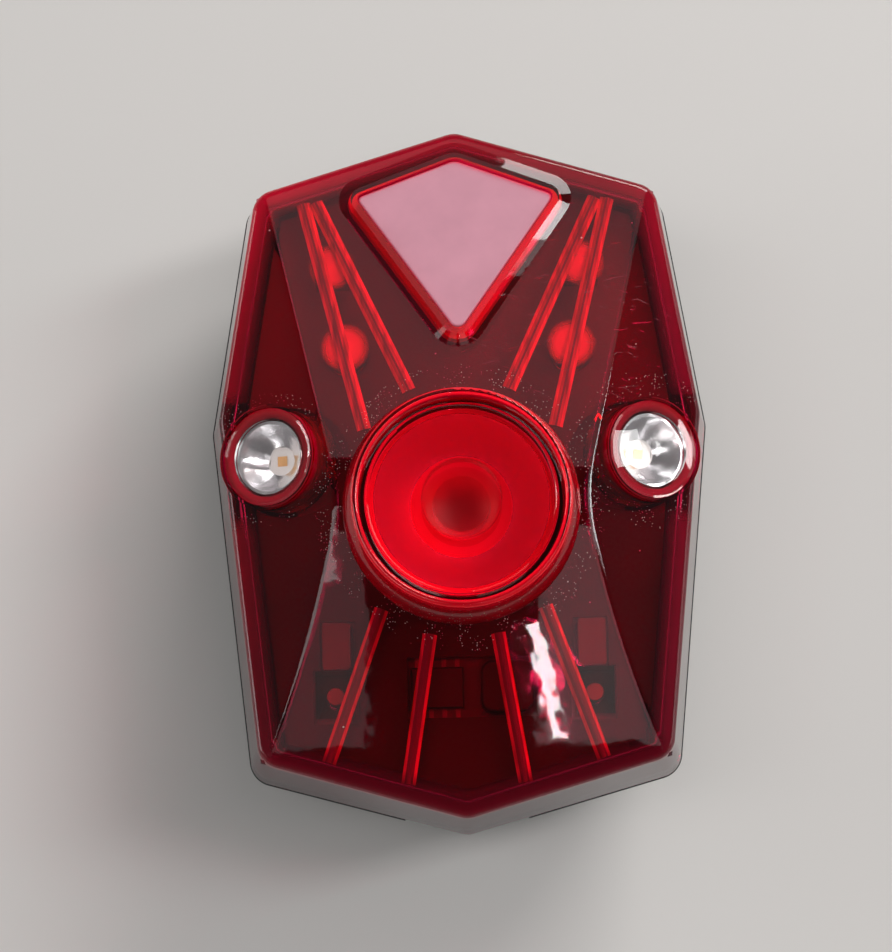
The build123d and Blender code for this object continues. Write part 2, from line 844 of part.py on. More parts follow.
# Black inner frame over the board, with holes for all that passes it
frame_top = z_frame + frame_thickness
frame_inset = wall + (frame_top - z_seam) * math.tan(math.radians(cover_draft)) + frame_gap
driver_x1 = chip_x - chip_w / 2
driver_x2 = coil_x + coil_side / 2
feet_top = [(side * frame_foot_top_x, frame_foot_top_y) for name, side in sides]
feet_low = [(side * frame_foot_low_x, frame_foot_low_y) for name, side in sides]
with BuildPart() as inner_frame:
    with BuildSketch(Plane.XY.offset(z_frame)):
        add(outline(frame_inset))
        with Locations((0, turret_y)):
            Circle(star_r + frame_hole_gap, mode=Mode.SUBTRACT)
        with Locations(*round_posts):
            Circle(round_post_r + frame_hole_gap, mode=Mode.SUBTRACT)
        with Locations(*square_posts):
            hole = (square_post_w + 2 * frame_hole_gap, square_post_h + 2 * frame_hole_gap)
            Rectangle(*hole, mode=Mode.SUBTRACT)
        with Locations(*[(side * block_x, block_y) for name, side in sides]):
            Rectangle(block_w + 2 * frame_hole_gap, block_h + 2 * frame_hole_gap, mode=Mode.SUBTRACT)
        with Locations(((driver_x1 + driver_x2) / 2, chip_y)):
            driver_w = driver_x2 - driver_x1
            driver_h = max(chip_h, coil_side)
            hole = (driver_w + 2 * frame_hole_gap, driver_h + 2 * frame_hole_gap)
            Rectangle(*hole, mode=Mode.SUBTRACT)
        with Locations((0, cap_stem_y)):
            switch_hole = switch_side + 2 * frame_hole_gap
            Rectangle(switch_hole, switch_hole, mode=Mode.SUBTRACT)
    extrude(amount=frame_thickness)
    for name, side in sides:
        with BuildSketch(window_frame(side)):
            Circle(window_tube_r + frame_hole_gap)
        extrude(amount=-far, mode=Mode.SUBTRACT)
    with BuildSketch(Plane.XY.offset(z_board_top)):
        with Locations(*feet_top, *feet_low):
            Circle(frame_foot_r)
    extrude(amount=z_frame - z_board_top)
finish(inner_frame, "inner_frame")

# Button: a kite cap held by its lip, with a stem down to the switch
cap_rise = bezel_rise - cap_below_bezel
lip_top = roof + cap_lip_gap
z_switch = z_board_top + switch_height
z_plunger = z_switch + plunger_rise
with BuildPart() as button_cap:
    with BuildSketch(Plane.XY.offset(z_plunger)):
        add(kite())
    extrude(amount=cover_height)
    add(above_roof(lip_top + cap_lip_thickness), mode=Mode.INTERSECT)
    add(above_roof(-cap_rise), mode=Mode.SUBTRACT)
    fillet(button_cap.faces().sort_by(Axis.Z)[-1].edges(), cap_edge_round)
    with BuildSketch(Plane.XY.offset(z_plunger)):
        with Locations((0, cap_stem_y)):
            Circle(cap_stem_r)
    extrude(amount=roof_z(cap_stem_y) - roof - z_plunger)
with BuildPart() as cap_lip_ring:
    with BuildSketch(Plane.XY.offset(z_plunger)):
        add(kite(-cap_lip))
    extrude(amount=cover_height)
    add(above_roof(lip_top + cap_lip_thickness), mode=Mode.INTERSECT)
    add(above_roof(lip_top), mode=Mode.SUBTRACT)
with BuildPart() as whole_cap:
    add(button_cap.part)
    add(cap_lip_ring.part)
finish(whole_cap, "button_cap")

with BuildPart() as switch_plunger:
    with BuildSketch(Plane.XY.offset(z_switch - plunger_sunk)):
        with Locations((0, cap_stem_y)):
            Circle(plunger_r)
    extrude(amount=plunger_sunk + plunger_rise)
finish(switch_plunger, "switch_plunger")

with BuildPart() as switch_body:
    with BuildSketch(Plane.XY.offset(z_board_top)):
        with Locations((0, cap_stem_y)):
            Rectangle(switch_side, switch_side)
    extrude(amount=switch_height)
    with BuildSketch(Plane.XY.offset(z_switch)):
        with Locations((0, cap_stem_y)):
            Circle(plunger_r + plunger_gap)
    extrude(amount=-(plunger_sunk + button_travel + plunger_gap), mode=Mode.SUBTRACT)
finish(switch_body, "switch_body")

# Gasket between the case and the cover
with BuildPart() as gasket:
    with BuildSketch(Plane.XY.offset(z_rim)):
        add(outline(gasket_inset))
        add(outline(gasket_inset + gasket_width), mode=Mode.SUBTRACT)
    extrude(amount=gasket_thickness)
finish(gasket, "gasket")

# Back case: drafted tray with a spigot, a coin slot and the saddle of the clip
z_hinge = z_back - clip_bead_below
spigot_inset = wall + spigot_gap
bore_half = clip_w / 2 + clip_side_gap
hinge_plane = Plane(origin=(0, clip_root_y, z_hinge), x_dir=(0, 1, 0), z_dir=(1, 0, 0))
case_form = case_block(-case_lip, 0.0, case_edge_round)
case_hollow = case_block(case_wall, case_floor, hollow_round)
with BuildPart() as back_case:
    add(case_form)
    add(case_hollow, mode=Mode.SUBTRACT)
    split(bisect_by=Plane.XY.offset(z_rim), keep=Keep.BOTTOM)
    with BuildSketch(Plane.XY.offset(z_rim - case_land)):
        add(outline(case_wall / 2))
        add(outline(spigot_inset + spigot_wall), mode=Mode.SUBTRACT)
    extrude(amount=case_land)
    with BuildSketch(Plane.XY.offset(z_rim)):
        add(outline(spigot_inset))
        add(outline(spigot_inset + spigot_wall), mode=Mode.SUBTRACT)
    extrude(amount=spigot_height)
    with BuildSketch(Plane.XY.offset(z_rim)):
        with Locations((0, -tip_y)):
            Rectangle(coin_slot_w, 2 * coin_slot_depth)
    extrude(amount=-coin_slot_height, mode=Mode.SUBTRACT)
    with BuildSketch(Plane.XY.offset(z_back + case_floor / 2)):
        with Locations((0, clip_root_y)):
            RectangleRounded(2 * (bore_half + saddle_wall), 2 * saddle_half_depth, saddle_wall)
    extrude(amount=-(saddle_drop + case_floor / 2))
    with BuildSketch(hinge_plane):
        Circle(clip_bead_r + clip_bead_gap)
        with Locations((0, -far / 2)):
            Rectangle(clip_arm + 2 * saddle_slot_gap, far)
    extrude(amount=bore_half, both=True, mode=Mode.SUBTRACT)
finish(back_case, "back_case")

# Belt clip: a bead in the saddle, an arm down from it and a plate with a tooth at its tip
clip_top_y = clip_root_y + clip_arm / 2
with BuildPart() as belt_clip:
    with BuildSketch():
        with Locations((0, (clip_top_y + clip_tip_y) / 2)):
            Rectangle(clip_w, clip_top_y - clip_tip_y)
    extrude(amount=clip_thickness)
    tip_edges = belt_clip.edges().filter_by(Axis.Z).group_by(Axis.Y)[0]
    fillet(tip_edges, clip_corner_round)
    fillet(belt_clip.faces().sort_by(Axis.Z)[0].edges(), clip_edge_round)
    with BuildSketch(hinge_plane):
        with Locations((0, (clip_thickness / 2 - z_hinge) / 2)):
            Rectangle(clip_arm, z_hinge - clip_thickness / 2)
        Circle(clip_bead_r)
    extrude(amount=clip_w / 2, both=True)
    with BuildSketch(Plane.YZ):
        with BuildLine():
            tooth_y = clip_tip_y + clip_tooth_inset
            Polyline(
                (tooth_y, clip_thickness / 2),
                (tooth_y, clip_thickness),
                (tooth_y + clip_tooth_crest, clip_thickness + clip_tooth),
                (tooth_y + clip_tooth_length, clip_thickness / 2),
                close=True,
            )
        make_face()
    extrude(amount=clip_w / 2 - clip_tooth_inset, both=True)
    groove_y = clip_tip_y + clip_corner_round + clip_groove_pitch * clip_groove_count / 2
    with BuildSketch():
        with Locations((0, groove_y)):
            with GridLocations(1, clip_groove_pitch, 1, clip_groove_count):
                Rectangle(far, clip_groove_w)
    extrude(amount=clip_groove, mode=Mode.SUBTRACT)
finish(belt_clip, "belt_clip")

# Two cells in their cradle, nubs at opposite ends
inner_end = cell_length / 2 + cradle_end_room
cradle_half_w = cell_spacing / 2 + cell_r + cell_gap + cradle_side
contact_room = contact_thickness + cell_gap
with BuildPart() as battery_cradle:
    with BuildSketch(Plane.XY.offset(z_floor)):
        Rectangle(2 * cradle_half_w, 2 * (inner_end + cradle_end_wall))
    extrude(amount=cradle_end_height)
    with BuildSketch(Plane.XY.offset(z_floor + cradle_height)):
        Rectangle(2 * cradle_half_w, 2 * inner_end)
    extrude(amount=cradle_end_height, mode=Mode.SUBTRACT)
    with BuildSketch(Plane.XZ):
        with Locations((-cell_spacing / 2, z_cell), (cell_spacing / 2, z_cell)):
            Circle(cell_r + cell_gap)
    extrude(amount=inner_end, both=True, mode=Mode.SUBTRACT)
    with BuildSketch(Plane.XY.offset(z_cell - contact_height / 2)):
        with GridLocations(1, 2 * inner_end - contact_room, 1, 2):
            Rectangle(cell_spacing + contact_w + 2 * cell_gap, contact_room)
    extrude(amount=cradle_end_height, mode=Mode.SUBTRACT)
finish(battery_cradle, "battery_cradle")

for name, side in sides:
    foot = Plane(origin=(side * cell_spacing / 2, side * cell_length / 2, z_cell), z_dir=(0, -side, 0))
    with BuildPart() as cell:
        with BuildSketch(foot):
            Circle(cell_r)
        extrude(amount=cell_length - cell_nub)
        fillet(cell.edges().filter_by(GeomType.CIRCLE), cell_end_round)
        with BuildSketch(foot.offset(cell_length - cell_nub)):
            Circle(cell_nub_r)
        extrude(amount=cell_nub)
    finish(cell, f"cell_{name}")


def contact(x1, x2, end, tab, leaf_x, bump_x, file_name):
    """Contact plate at one end of the cradle, with a leaf for a flat end and a bump for a nub."""
    plate_y = end * (inner_end - contact_thickness / 2)
    reach = cradle_end_room
    with BuildPart() as plate:
        with BuildSketch(Plane(origin=(0, plate_y, 0), x_dir=(1, 0, 0), z_dir=(0, -1, 0))):
            with Locations(((x1 + x2) / 2, z_cell)):
                Rectangle(x2 - x1, contact_height)
            if tab:
                tab_top = z_board - contact_tab_gap
                with Locations(((x1 + x2) / 2, (z_cell + tab_top) / 2)):
                    Rectangle(contact_tab_w, tab_top - z_cell)
        extrude(amount=contact_thickness / 2, both=True)
        if bump_x is not None:
            with BuildSketch(Plane(origin=(bump_x, end * inner_end, z_cell), z_dir=(0, -end, 0))):
                Circle(contact_bump_r)
            extrude(amount=reach)
        if leaf_x is not None:
            near = end * (inner_end - contact_thickness)
            tip = end * (inner_end - reach)
            half = contact_leaf_h / 2
            with BuildSketch(Plane.YZ.offset(leaf_x)):
                with BuildLine():
                    Polyline(
                        (near, z_cell - half),
                        (tip, z_cell),
                        (near, z_cell + half),
                        (near, z_cell + half - 2 * contact_thickness),
                        (tip + end * contact_thickness, z_cell),
                        (near, z_cell - half + 2 * contact_thickness),
                        close=True,
                    )
                make_face()
            extrude(amount=contact_leaf_w / 2, both=True)
    finish(plate, file_name)


half_pitch = cell_spacing / 2
half_plate = contact_w / 2
bridge_end = half_pitch + half_plate
contact(-bridge_end, bridge_end, 1, False, half_pitch, -half_pitch, "bridge_contact")
contact(-half_pitch - half_plate, -half_pitch + half_plate, -1, True, -half_pitch, None, "negative_contact")
contact(half_pitch - half_plate, half_pitch + half_plate, -1, True, None, half_pitch, "positive_contact")
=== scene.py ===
import bpy
import json
import math
from mathutils import Matrix, Vector


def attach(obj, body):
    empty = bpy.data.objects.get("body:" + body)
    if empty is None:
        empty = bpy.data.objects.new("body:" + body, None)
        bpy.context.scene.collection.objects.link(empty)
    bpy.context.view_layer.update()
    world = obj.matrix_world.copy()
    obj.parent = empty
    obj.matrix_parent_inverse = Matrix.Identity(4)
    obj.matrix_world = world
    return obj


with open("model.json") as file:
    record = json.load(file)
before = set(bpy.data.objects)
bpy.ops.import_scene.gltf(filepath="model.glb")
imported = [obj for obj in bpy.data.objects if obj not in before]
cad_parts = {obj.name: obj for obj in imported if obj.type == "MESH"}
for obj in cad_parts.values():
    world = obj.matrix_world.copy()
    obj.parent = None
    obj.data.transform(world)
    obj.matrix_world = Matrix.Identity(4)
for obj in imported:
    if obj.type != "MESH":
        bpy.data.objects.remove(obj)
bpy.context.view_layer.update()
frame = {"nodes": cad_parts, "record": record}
nodes = frame["nodes"]
mm = 0.001
print("frame loaded,", len(nodes), "nodes")


# Helpers for materials

def newMaterial(name):
    mat = bpy.data.materials.new(name)
    mat.use_nodes = True
    tree = mat.node_tree
    tree.nodes.clear()
    out = tree.nodes.new("ShaderNodeOutputMaterial")
    return mat, tree, out


def shiny(tree, color, roughness, **sockets):
    # socket names are given with underscores
    node = tree.nodes.new("ShaderNodeBsdfPrincipled")
    node.inputs["Base Color"].default_value = (*color, 1)
    node.inputs["Roughness"].default_value = roughness
    for key, value in sockets.items():
        node.inputs[key.replace("_", " ")].default_value = value
    return node


def ramp(tree, source, stops):
    node = tree.nodes.new("ShaderNodeValToRGB")
    elements = node.color_ramp.elements
    while len(elements) < len(stops):
        elements.new(0.5)
    for element, (place, value) in zip(elements, stops):
        element.position = place
        color = value if isinstance(value, tuple) else (value, value, value)
        element.color = (*color, 1)
    tree.links.new(source, node.inputs["Fac"])
    return node.outputs["Color"]


def objectPlace(tree):
    return tree.nodes.new("ShaderNodeTexCoord").outputs["Object"]


def noise(tree, scale, detail=3):
    node = tree.nodes.new("ShaderNodeTexNoise")
    node.inputs["Scale"].default_value = scale
    node.inputs["Detail"].default_value = detail
    tree.links.new(objectPlace(tree), node.inputs["Vector"])
    return node.outputs["Fac"]


def bump(tree, height, strength, distance):
    node = tree.nodes.new("ShaderNodeBump")
    node.inputs["Strength"].default_value = strength
    node.inputs["Distance"].default_value = distance
    tree.links.new(height, node.inputs["Height"])
    return node.outputs["Normal"]


def math2(tree, operation, first, second):
    # either input may be a socket or a number
    node = tree.nodes.new("ShaderNodeMath")
    node.operation = operation
    for i, value in enumerate((first, second)):
        if isinstance(value, (int, float)):
            node.inputs[i].default_value = value
        else:
            tree.links.new(value, node.inputs[i])
    return node.outputs["Value"]


def axisPart(tree, axis):
    node = tree.nodes.new("ShaderNodeSeparateXYZ")
    tree.links.new(objectPlace(tree), node.inputs["Vector"])
    return node.outputs[axis]


def mixed(tree, share, first, second):
    node = tree.nodes.new("ShaderNodeMixShader")
    tree.links.new(share, node.inputs["Fac"])
    tree.links.new(first, node.inputs[1])
    tree.links.new(second, node.inputs[2])
    return node.outputs["Shader"]


def seeThrough(name, wall, roughness, ior):
    # lamps shine through it: shadow rays meet a plain tinted pane
    mat, tree, out = newMaterial(name)
    body = shiny(tree, wall, roughness, Transmission_Weight=1.0, IOR=ior)
    clear = tree.nodes.new("ShaderNodeBsdfTransparent")
    clear.inputs["Color"].default_value = (*[math.sqrt(c) for c in wall], 1)
    ray = tree.nodes.new("ShaderNodeLightPath")
    both = mixed(tree, ray.outputs["Is Shadow Ray"], body.outputs["BSDF"], clear.outputs["BSDF"])
    tree.links.new(both, out.inputs["Surface"])
    return mat, tree, body


def solid(name, color, roughness, **sockets):
    mat, tree, out = newMaterial(name)
    body = shiny(tree, color, roughness, **sockets)
    tree.links.new(body.outputs["BSDF"], out.inputs["Surface"])
    return mat, tree, body


def mottled(tree, body, color, spread, scale):
    tone = noise(tree, scale)
    low = tuple(c * (1 - spread) for c in color)
    high = tuple(min(1, c * (1 + spread)) for c in color)
    tree.links.new(ramp(tree, tone, [(0.3, low), (0.7, high)]), body.inputs["Base Color"])


def streaked(tree, body, low, high):
    # tones drawn out along Y, where the grain is coarsest
    grain = (1600, 120, 900)
    stretch = tree.nodes.new("ShaderNodeMapping")
    stretch.inputs["Scale"].default_value = grain
    tree.links.new(objectPlace(tree), stretch.inputs["Vector"])
    node = tree.nodes.new("ShaderNodeTexNoise")
    node.inputs["Scale"].default_value = 1.0
    node.inputs["Detail"].default_value = 2
    tree.links.new(stretch.outputs["Vector"], node.inputs["Vector"])
    tree.links.new(ramp(tree, node.outputs["Fac"], [(0.35, low), (0.62, high)]), body.inputs["Base Color"])


def specks(tree, cellsPerMetre, size, share):
    # round specks in a share of the cells, as a mask of 0 and 1
    cells = tree.nodes.new("ShaderNodeTexVoronoi")
    cells.inputs["Scale"].default_value = cellsPerMetre
    tree.links.new(objectPlace(tree), cells.inputs["Vector"])
    near = math2(tree, "LESS_THAN", cells.outputs["Distance"], size)
    luck = tree.nodes.new("ShaderNodeSeparateColor")
    tree.links.new(cells.outputs["Color"], luck.inputs["Color"])
    picked = math2(tree, "LESS_THAN", luck.outputs["Red"], share)
    return math2(tree, "MULTIPLY", near, picked)


def ringMask(tree, x, y, inner, outer):
    # 1 between two distances from an upright axis
    where = tree.nodes.new("ShaderNodeVectorMath")
    where.operation = "MULTIPLY"
    tree.links.new(objectPlace(tree), where.inputs[0])
    where.inputs[1].default_value = (1, 1, 0)
    away = tree.nodes.new("ShaderNodeVectorMath")
    away.operation = "DISTANCE"
    tree.links.new(where.outputs["Vector"], away.inputs[0])
    away.inputs[1].default_value = (x, y, 0)
    beyond = math2(tree, "GREATER_THAN", away.outputs["Value"], inner)
    within = math2(tree, "LESS_THAN", away.outputs["Value"], outer)
    return math2(tree, "MULTIPLY", beyond, within)


def scratches(tree, turn, least):
    # thin lines at an angle, as a mask of 0 and 1; the grain is finest across them
    grain = (480, 6200, 300)
    turned = tree.nodes.new("ShaderNodeMapping")
    turned.inputs["Rotation"].default_value = (0, 0, math.radians(turn))
    tree.links.new(objectPlace(tree), turned.inputs["Vector"])
    stretch = tree.nodes.new("ShaderNodeMapping")
    stretch.inputs["Scale"].default_value = grain
    tree.links.new(turned.outputs["Vector"], stretch.inputs["Vector"])
    node = tree.nodes.new("ShaderNodeTexNoise")
    node.inputs["Scale"].default_value = 1.0
    node.inputs["Detail"].default_value = 1
    tree.links.new(stretch.outputs["Vector"], node.inputs["Vector"])
    return math2(tree, "GREATER_THAN", node.outputs["Fac"], least)


# Clear red cover, with faint waves in its skin and a little dust round the turret
dust = {"tone": (0.62, 0.40, 0.42), "hold": 0.75, "rough": 0.8, "sparse": (430, 0.035, 0.35),
        "fine": (4300, 0.17, 0.6), "patch": 0.5, "scratch": 0.735, "scratchHold": 0.22,
        "scratched": (0.009, 0.015, 0.0, 0.0115), "turret": (0, -0.0041, 0.0104, 0.0136),
        "lampRight": (0.0182, 0.0012, 0.0052, 0.0076), "lampLeft": (-0.0182, 0.0012, 0.0052, 0.0064)}
coverRed = (0.88, 0.012, 0.095)
redCover, tree, body = seeThrough("red cover plastic", coverRed, 0.02, 1.49)
tree.links.new(bump(tree, noise(tree, 260, 2), 0.10, 0.0001), body.inputs["Normal"])
lamps = math2(tree, "MAXIMUM", ringMask(tree, *dust["lampLeft"]), ringMask(tree, *dust["lampRight"]))
closeBy = math2(tree, "MAXIMUM", ringMask(tree, *dust["turret"]), lamps)
# reflections are tinted at the flanks: 0 is the far left, 1 the far right
tinted = {"width": 0.0506,
          "stops": [(0.0, (0.9, 0.7, 0.72)), (0.12, (1, 1, 1)), (0.9, (1, 1, 1)), (1.0, (0.6, 0.08, 0.12))]}
acrossShare = math2(tree, "MULTIPLY_ADD", axisPart(tree, "X"), 1 / tinted["width"])
acrossShare.node.inputs[2].default_value = 0.5
tree.links.new(ramp(tree, acrossShare, tinted["stops"]), body.inputs["Specular Tint"])
patchy = math2(tree, "GREATER_THAN", noise(tree, 420, 2), dust["patch"])
fine = math2(tree, "MULTIPLY", specks(tree, *dust["fine"]), math2(tree, "MULTIPLY", closeBy, patchy))
lines = math2(tree, "MAXIMUM", scratches(tree, 20, dust["scratch"]), scratches(tree, -12, dust["scratch"]))
lines = math2(tree, "MULTIPLY", lines, ringMask(tree, *dust["scratched"]))
dusty = math2(tree, "MAXIMUM", fine, specks(tree, *dust["sparse"]))
dusty = math2(tree, "MAXIMUM", dusty, math2(tree, "MULTIPLY", lines, dust["scratchHold"]))
tree.links.new(ramp(tree, dusty, [(0, coverRed), (1, dust["tone"])]), body.inputs["Base Color"])
tree.links.new(ramp(tree, dusty, [(0, 1.0), (1, 1 - dust["hold"])]), body.inputs["Transmission Weight"])
tree.links.new(ramp(tree, dusty, [(0, 0.02), (1, dust["rough"])]), body.inputs["Roughness"])

clearPlastic = seeThrough("clear window plastic", (0.97, 0.95, 0.955), 0.01, 1.49)[0]

# Red lens: clear at its face, frosted below its flange so that it glows
lensFrost = {"from": 31.6, "clear": 0.02, "frosted": 0.6, "eye": 0.16, "eyeRing": (0, -0.0041, 0.0, 0.0038),
             "tone": (0.90, 0.02, 0.09), "eyeTone": (0.70, 0.02, 0.07), "eyeShine": 0.3}
redLens, tree, body = seeThrough("red lens plastic", lensFrost["tone"], 0.02, 1.49)
below = math2(tree, "LESS_THAN", axisPart(tree, "Z"), lensFrost["from"] * mm)
rough = math2(tree, "MULTIPLY_ADD", below, lensFrost["frosted"] - lensFrost["clear"])
rough.node.inputs[2].default_value = lensFrost["clear"]
eye = math2(tree, "MULTIPLY", ringMask(tree, *lensFrost["eyeRing"]), lensFrost["eye"])
tree.links.new(math2(tree, "MAXIMUM", rough, eye), body.inputs["Roughness"])
# painted shade on the reflections: inside the eye the specular tint drops to eyeShine, dimming the mirrored
# lamps, and the tone is darker
inEye = ringMask(tree, *lensFrost["eyeRing"])
tree.links.new(ramp(tree, inEye, [(0, 1.0), (1, lensFrost["eyeShine"])]), body.inputs["Specular Tint"])
lensTones = ramp(tree, inEye, [(0, lensFrost["tone"]), (1, lensFrost["eyeTone"])])
tree.links.new(lensTones, body.inputs["Base Color"])

chrome, tree, body = solid("chromed bowl", (0.95, 0.95, 0.96), 0.19, Metallic=1.0)
tree.links.new(bump(tree, noise(tree, 420, 1), 0.35, 0.0004), body.inputs["Normal"])
cupSilver = solid("satin cup", (0.88, 0.88, 0.88), 0.5)[0]
mauve, tree, body = solid("mauve button plastic", (0.64, 0.29, 0.37), 0.42)
mottled(tree, body, (0.64, 0.29, 0.37), 0.05, 300)
blackFine = solid("black moulded plastic", (0.012, 0.012, 0.013), 0.5)[0]
caseBlack, tree, body = solid("textured black case", (0.018, 0.018, 0.019), 0.55)
tree.links.new(bump(tree, noise(tree, 5200, 2), 0.35, 0.00005), body.inputs["Normal"])

# Inner frame: satin black, paler toward the button end where it takes the most light
frameTone = {"dark": 0.007, "pale": 0.085, "from": -0.012, "to": 0.016}
frameBlack, tree, body = solid("inner frame plastic", (0.02, 0.02, 0.02), 0.5)
along = math2(tree, "SUBTRACT", axisPart(tree, "Y"), frameTone["from"])
along = math2(tree, "DIVIDE", along, frameTone["to"] - frameTone["from"])
tree.links.new(ramp(tree, along, [(0, frameTone["dark"]), (1, frameTone["pale"])]), body.inputs["Base Color"])
tree.links.new(bump(tree, noise(tree, 2600, 2), 0.3, 0.00005), body.inputs["Normal"])

rubber = solid("seal rubber", (0.012, 0.012, 0.012), 0.7)[0]
boardDark = solid("board lacquer", (0.075, 0.085, 0.075), 0.35)[0]
whitePlastic = solid("white plastic", (0.82, 0.81, 0.77), 0.4)[0]
# painted shade: the terminal blocks get a near-black tone so that they look dim under the cover
blockShaded = solid("terminal block plastic", (0.07, 0.04, 0.04), 0.5)[0]
tinned = solid("tinned metal", (0.72, 0.71, 0.69), 0.3, Metallic=1.0)[0]
dullTin = solid("dull solder", (0.22, 0.21, 0.20), 0.5, Metallic=1.0)[0]
screwSteel = solid("zinc screws", (0.24, 0.24, 0.25), 0.4, Metallic=1.0)[0]
amber = solid("emitter die", (0.75, 0.42, 0.16), 0.3)[0]
ceramic = solid("small ceramic parts", (0.42, 0.30, 0.19), 0.5)[0]


# Cells: how far from the middle the collar and the bare ends start, and their tones
cell = {"collarFrom": 0.0105, "bareFrom": 0.0209, "collarPlace": 0.4, "barePlace": 0.6, "collarMetal": 0.7,
        "wrap": (0.03, 0.035, 0.045), "copper": (0.55, 0.24, 0.10), "steel": (0.62, 0.61, 0.60)}


def cellFinish(name, nubSide):
    # dark wrap with a copper collar at the nub end and bare steel at both ends
    mat, tree, body = solid(name, cell["wrap"], 0.3)
    toNub = math2(tree, "MULTIPLY", axisPart(tree, "Y"), nubSide)
    collar = math2(tree, "GREATER_THAN", toNub, cell["collarFrom"])
    away = math2(tree, "ABSOLUTE", axisPart(tree, "Y"), 0)
    bare = math2(tree, "GREATER_THAN", away, cell["bareFrom"])
    collarPart = math2(tree, "MULTIPLY", collar, cell["collarPlace"])
    barePart = math2(tree, "MULTIPLY", bare, cell["barePlace"])
    stops = [(0.0, cell["wrap"]), (cell["collarPlace"], cell["copper"]), (cell["barePlace"], cell["steel"])]
    tones = ramp(tree, math2(tree, "ADD", collarPart, barePart), stops)
    tree.links.new(tones, body.inputs["Base Color"])
    collarMetal = math2(tree, "MULTIPLY", collar, cell["collarMetal"])
    tree.links.new(math2(tree, "MAXIMUM", bare, collarMetal), body.inputs["Metallic"])
    return mat


cellLeft = cellFinish("cell wrap left", 1)
cellRight = cellFinish("cell wrap right", -1)

finishes = {
    "red_clear": redCover, "clear": clearPlastic, "silvered": chrome, "mauve_plastic": mauve,
    "dark_plastic": blackFine, "black_rubber": rubber, "white_plastic": whitePlastic, "amber": amber,
    "board": boardDark, "bare_metal": tinned, "tinned": tinned, "steel": screwSteel,
    "tan_ceramic": ceramic, "cell_wrap": cellLeft,
}
ownFinish = {
    "main_lens": redLens, "back_case": caseBlack, "belt_clip": caseBlack, "main_reflector": cupSilver,
    "inner_frame": frameBlack, "chip_legs": dullTin, "terminal_block_left": blockShaded,
    "terminal_block_right": blockShaded, "cell_right": cellRight,
}
for part in frame["record"]["subparts"]:
    name = part["node"]
    mat = ownFinish.get(name, finishes[part["material_slot"]])
    mesh = nodes[name].data
    for i in range(len(mesh.materials)):
        mesh.materials[i] = mat
    if not mesh.materials:
        mesh.materials.append(mat)
print("finishes set")


# Helpers for pieces, all in millimetres

def meshPiece(name, points, faces, mats, body, faceMats=None):
    data = bpy.data.meshes.new(name)
    data.from_pydata([tuple(c * mm for c in p) for p in points], [], faces)
    for mat in mats:
        data.materials.append(mat)
    if faceMats:
        for face, index in zip(data.polygons, faceMats):
            face.material_index = index
    data.update()
    piece = bpy.data.objects.new(name, data)
    bpy.context.collection.objects.link(piece)
    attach(piece, body)
    return piece


def skinRings(rings, closed=True):
    # quads between rings of equal length; closed joins the last ring to the first
    count = len(rings[0])
    points = [p for ring in rings for p in ring]
    faces = []
    for i in range(len(rings) if closed else len(rings) - 1):
        a = i * count
        b = ((i + 1) % len(rings)) * count
        for k in range(count):
            n = (k + 1) % count
            faces.append((a + k, a + n, b + n, b + k))
    return points, faces


def circlePoints(x, y, z, radius, count):
    turn = 2 * math.pi / count
    return [(x + radius * math.cos(i * turn), y + radius * math.sin(i * turn), z) for i in range(count)]


# Cover sizes, as in the CAD
cover = {
    "corners": [(0, -34.5), (20.7, -28.8), (24.3, 5.2), (20.6, 28.1), (0, 34.5), (-20.6, 28.1), (-24.3, 5.2),
                (-20.7, -28.8)],
    "seam": 17.0, "ridge": 30.0, "ridgeY": -3.2, "ridgeHalf": 11.6, "wall": 1.8, "roof": 1.8,
    "draft": math.radians(9.0), "sideSlope": 0.4545, "topSlope": 0.104, "lowSlope": 0.075, "lowBend": 216.0,
}


def roofHeight(x, y):
    side = cover["ridge"] - cover["sideSlope"] * (abs(x) - cover["ridgeHalf"])
    if y > cover["ridgeY"]:
        middle = cover["ridge"] - cover["topSlope"] * (y - cover["ridgeY"])
    else:
        lean = math.atan(cover["lowSlope"])
        bendY = cover["ridgeY"] + cover["lowBend"] * math.sin(lean)
        bendZ = cover["ridge"] - cover["lowBend"] * math.cos(lean)
        middle = bendZ + math.sqrt(cover["lowBend"] ** 2 - (y - bendY) ** 2)
    return min(side, middle)


def insetCorners(inset):
    corners = [Vector(c) for c in cover["corners"]]
    moved = []
    for i, here in enumerate(corners):
        into = (here - corners[i - 1]).normalized()
        away = (corners[(i + 1) % len(corners)] - here).normalized()
        inward = Vector((-into.y - away.y, into.x + away.x))
        moved.append(here + inward * (inset / (1 + into.dot(away))))
    return moved


def insetLoop(inset, perSide=24):
    # evenly spaced points along every side of the inset outline
    corners = insetCorners(inset)
    loop = []
    for i, here in enumerate(corners):
        there = corners[(i + 1) % len(corners)]
        loop += [here.lerp(there, k / perSide) for k in range(perSide)]
    return loop


# Painted glow at the edge: a red band down the inside of the wall and a ledge that fades inwards under the
# roof, standing in for light carried through the plastic walls
edge = {
    "lampX": 15, "lampY": 1.2, "lampRoom": 4.9, "lampFade": 2.0, "lampLow": 22.0,
    "ledgeInsets": (0.5, 1.0, 1.5, 2.0, 2.6, 3.3), "ledgeTones": (0.75, 0.85, 0.65, 0.5, 0.4, 0.3),
    "ledgeCover": (1.0, 1.0, 1.0, 0.7, 0.35, 0.0), "ledgeUp": 0.5, "ledgeRise": 6.5,
    "low": 0.4, "bury": 0.04, "thick": 0.15, "levels": 7, "wallBelow": 0.4, "wallTone": 0.5, "wallFoot": 0.35,
    "lowTone": 0.06, "topTone": 0.55, "toneFrom": -22, "toneRun": 52,
    "cornerTone": 0.30, "cornerX": 19, "cornerY": 26, "cornerSpread": 60, "rightDrop": 0.45, "dropRun": 12,
}


def wallInset(z):
    return (z - cover["seam"]) * math.tan(cover["draft"])


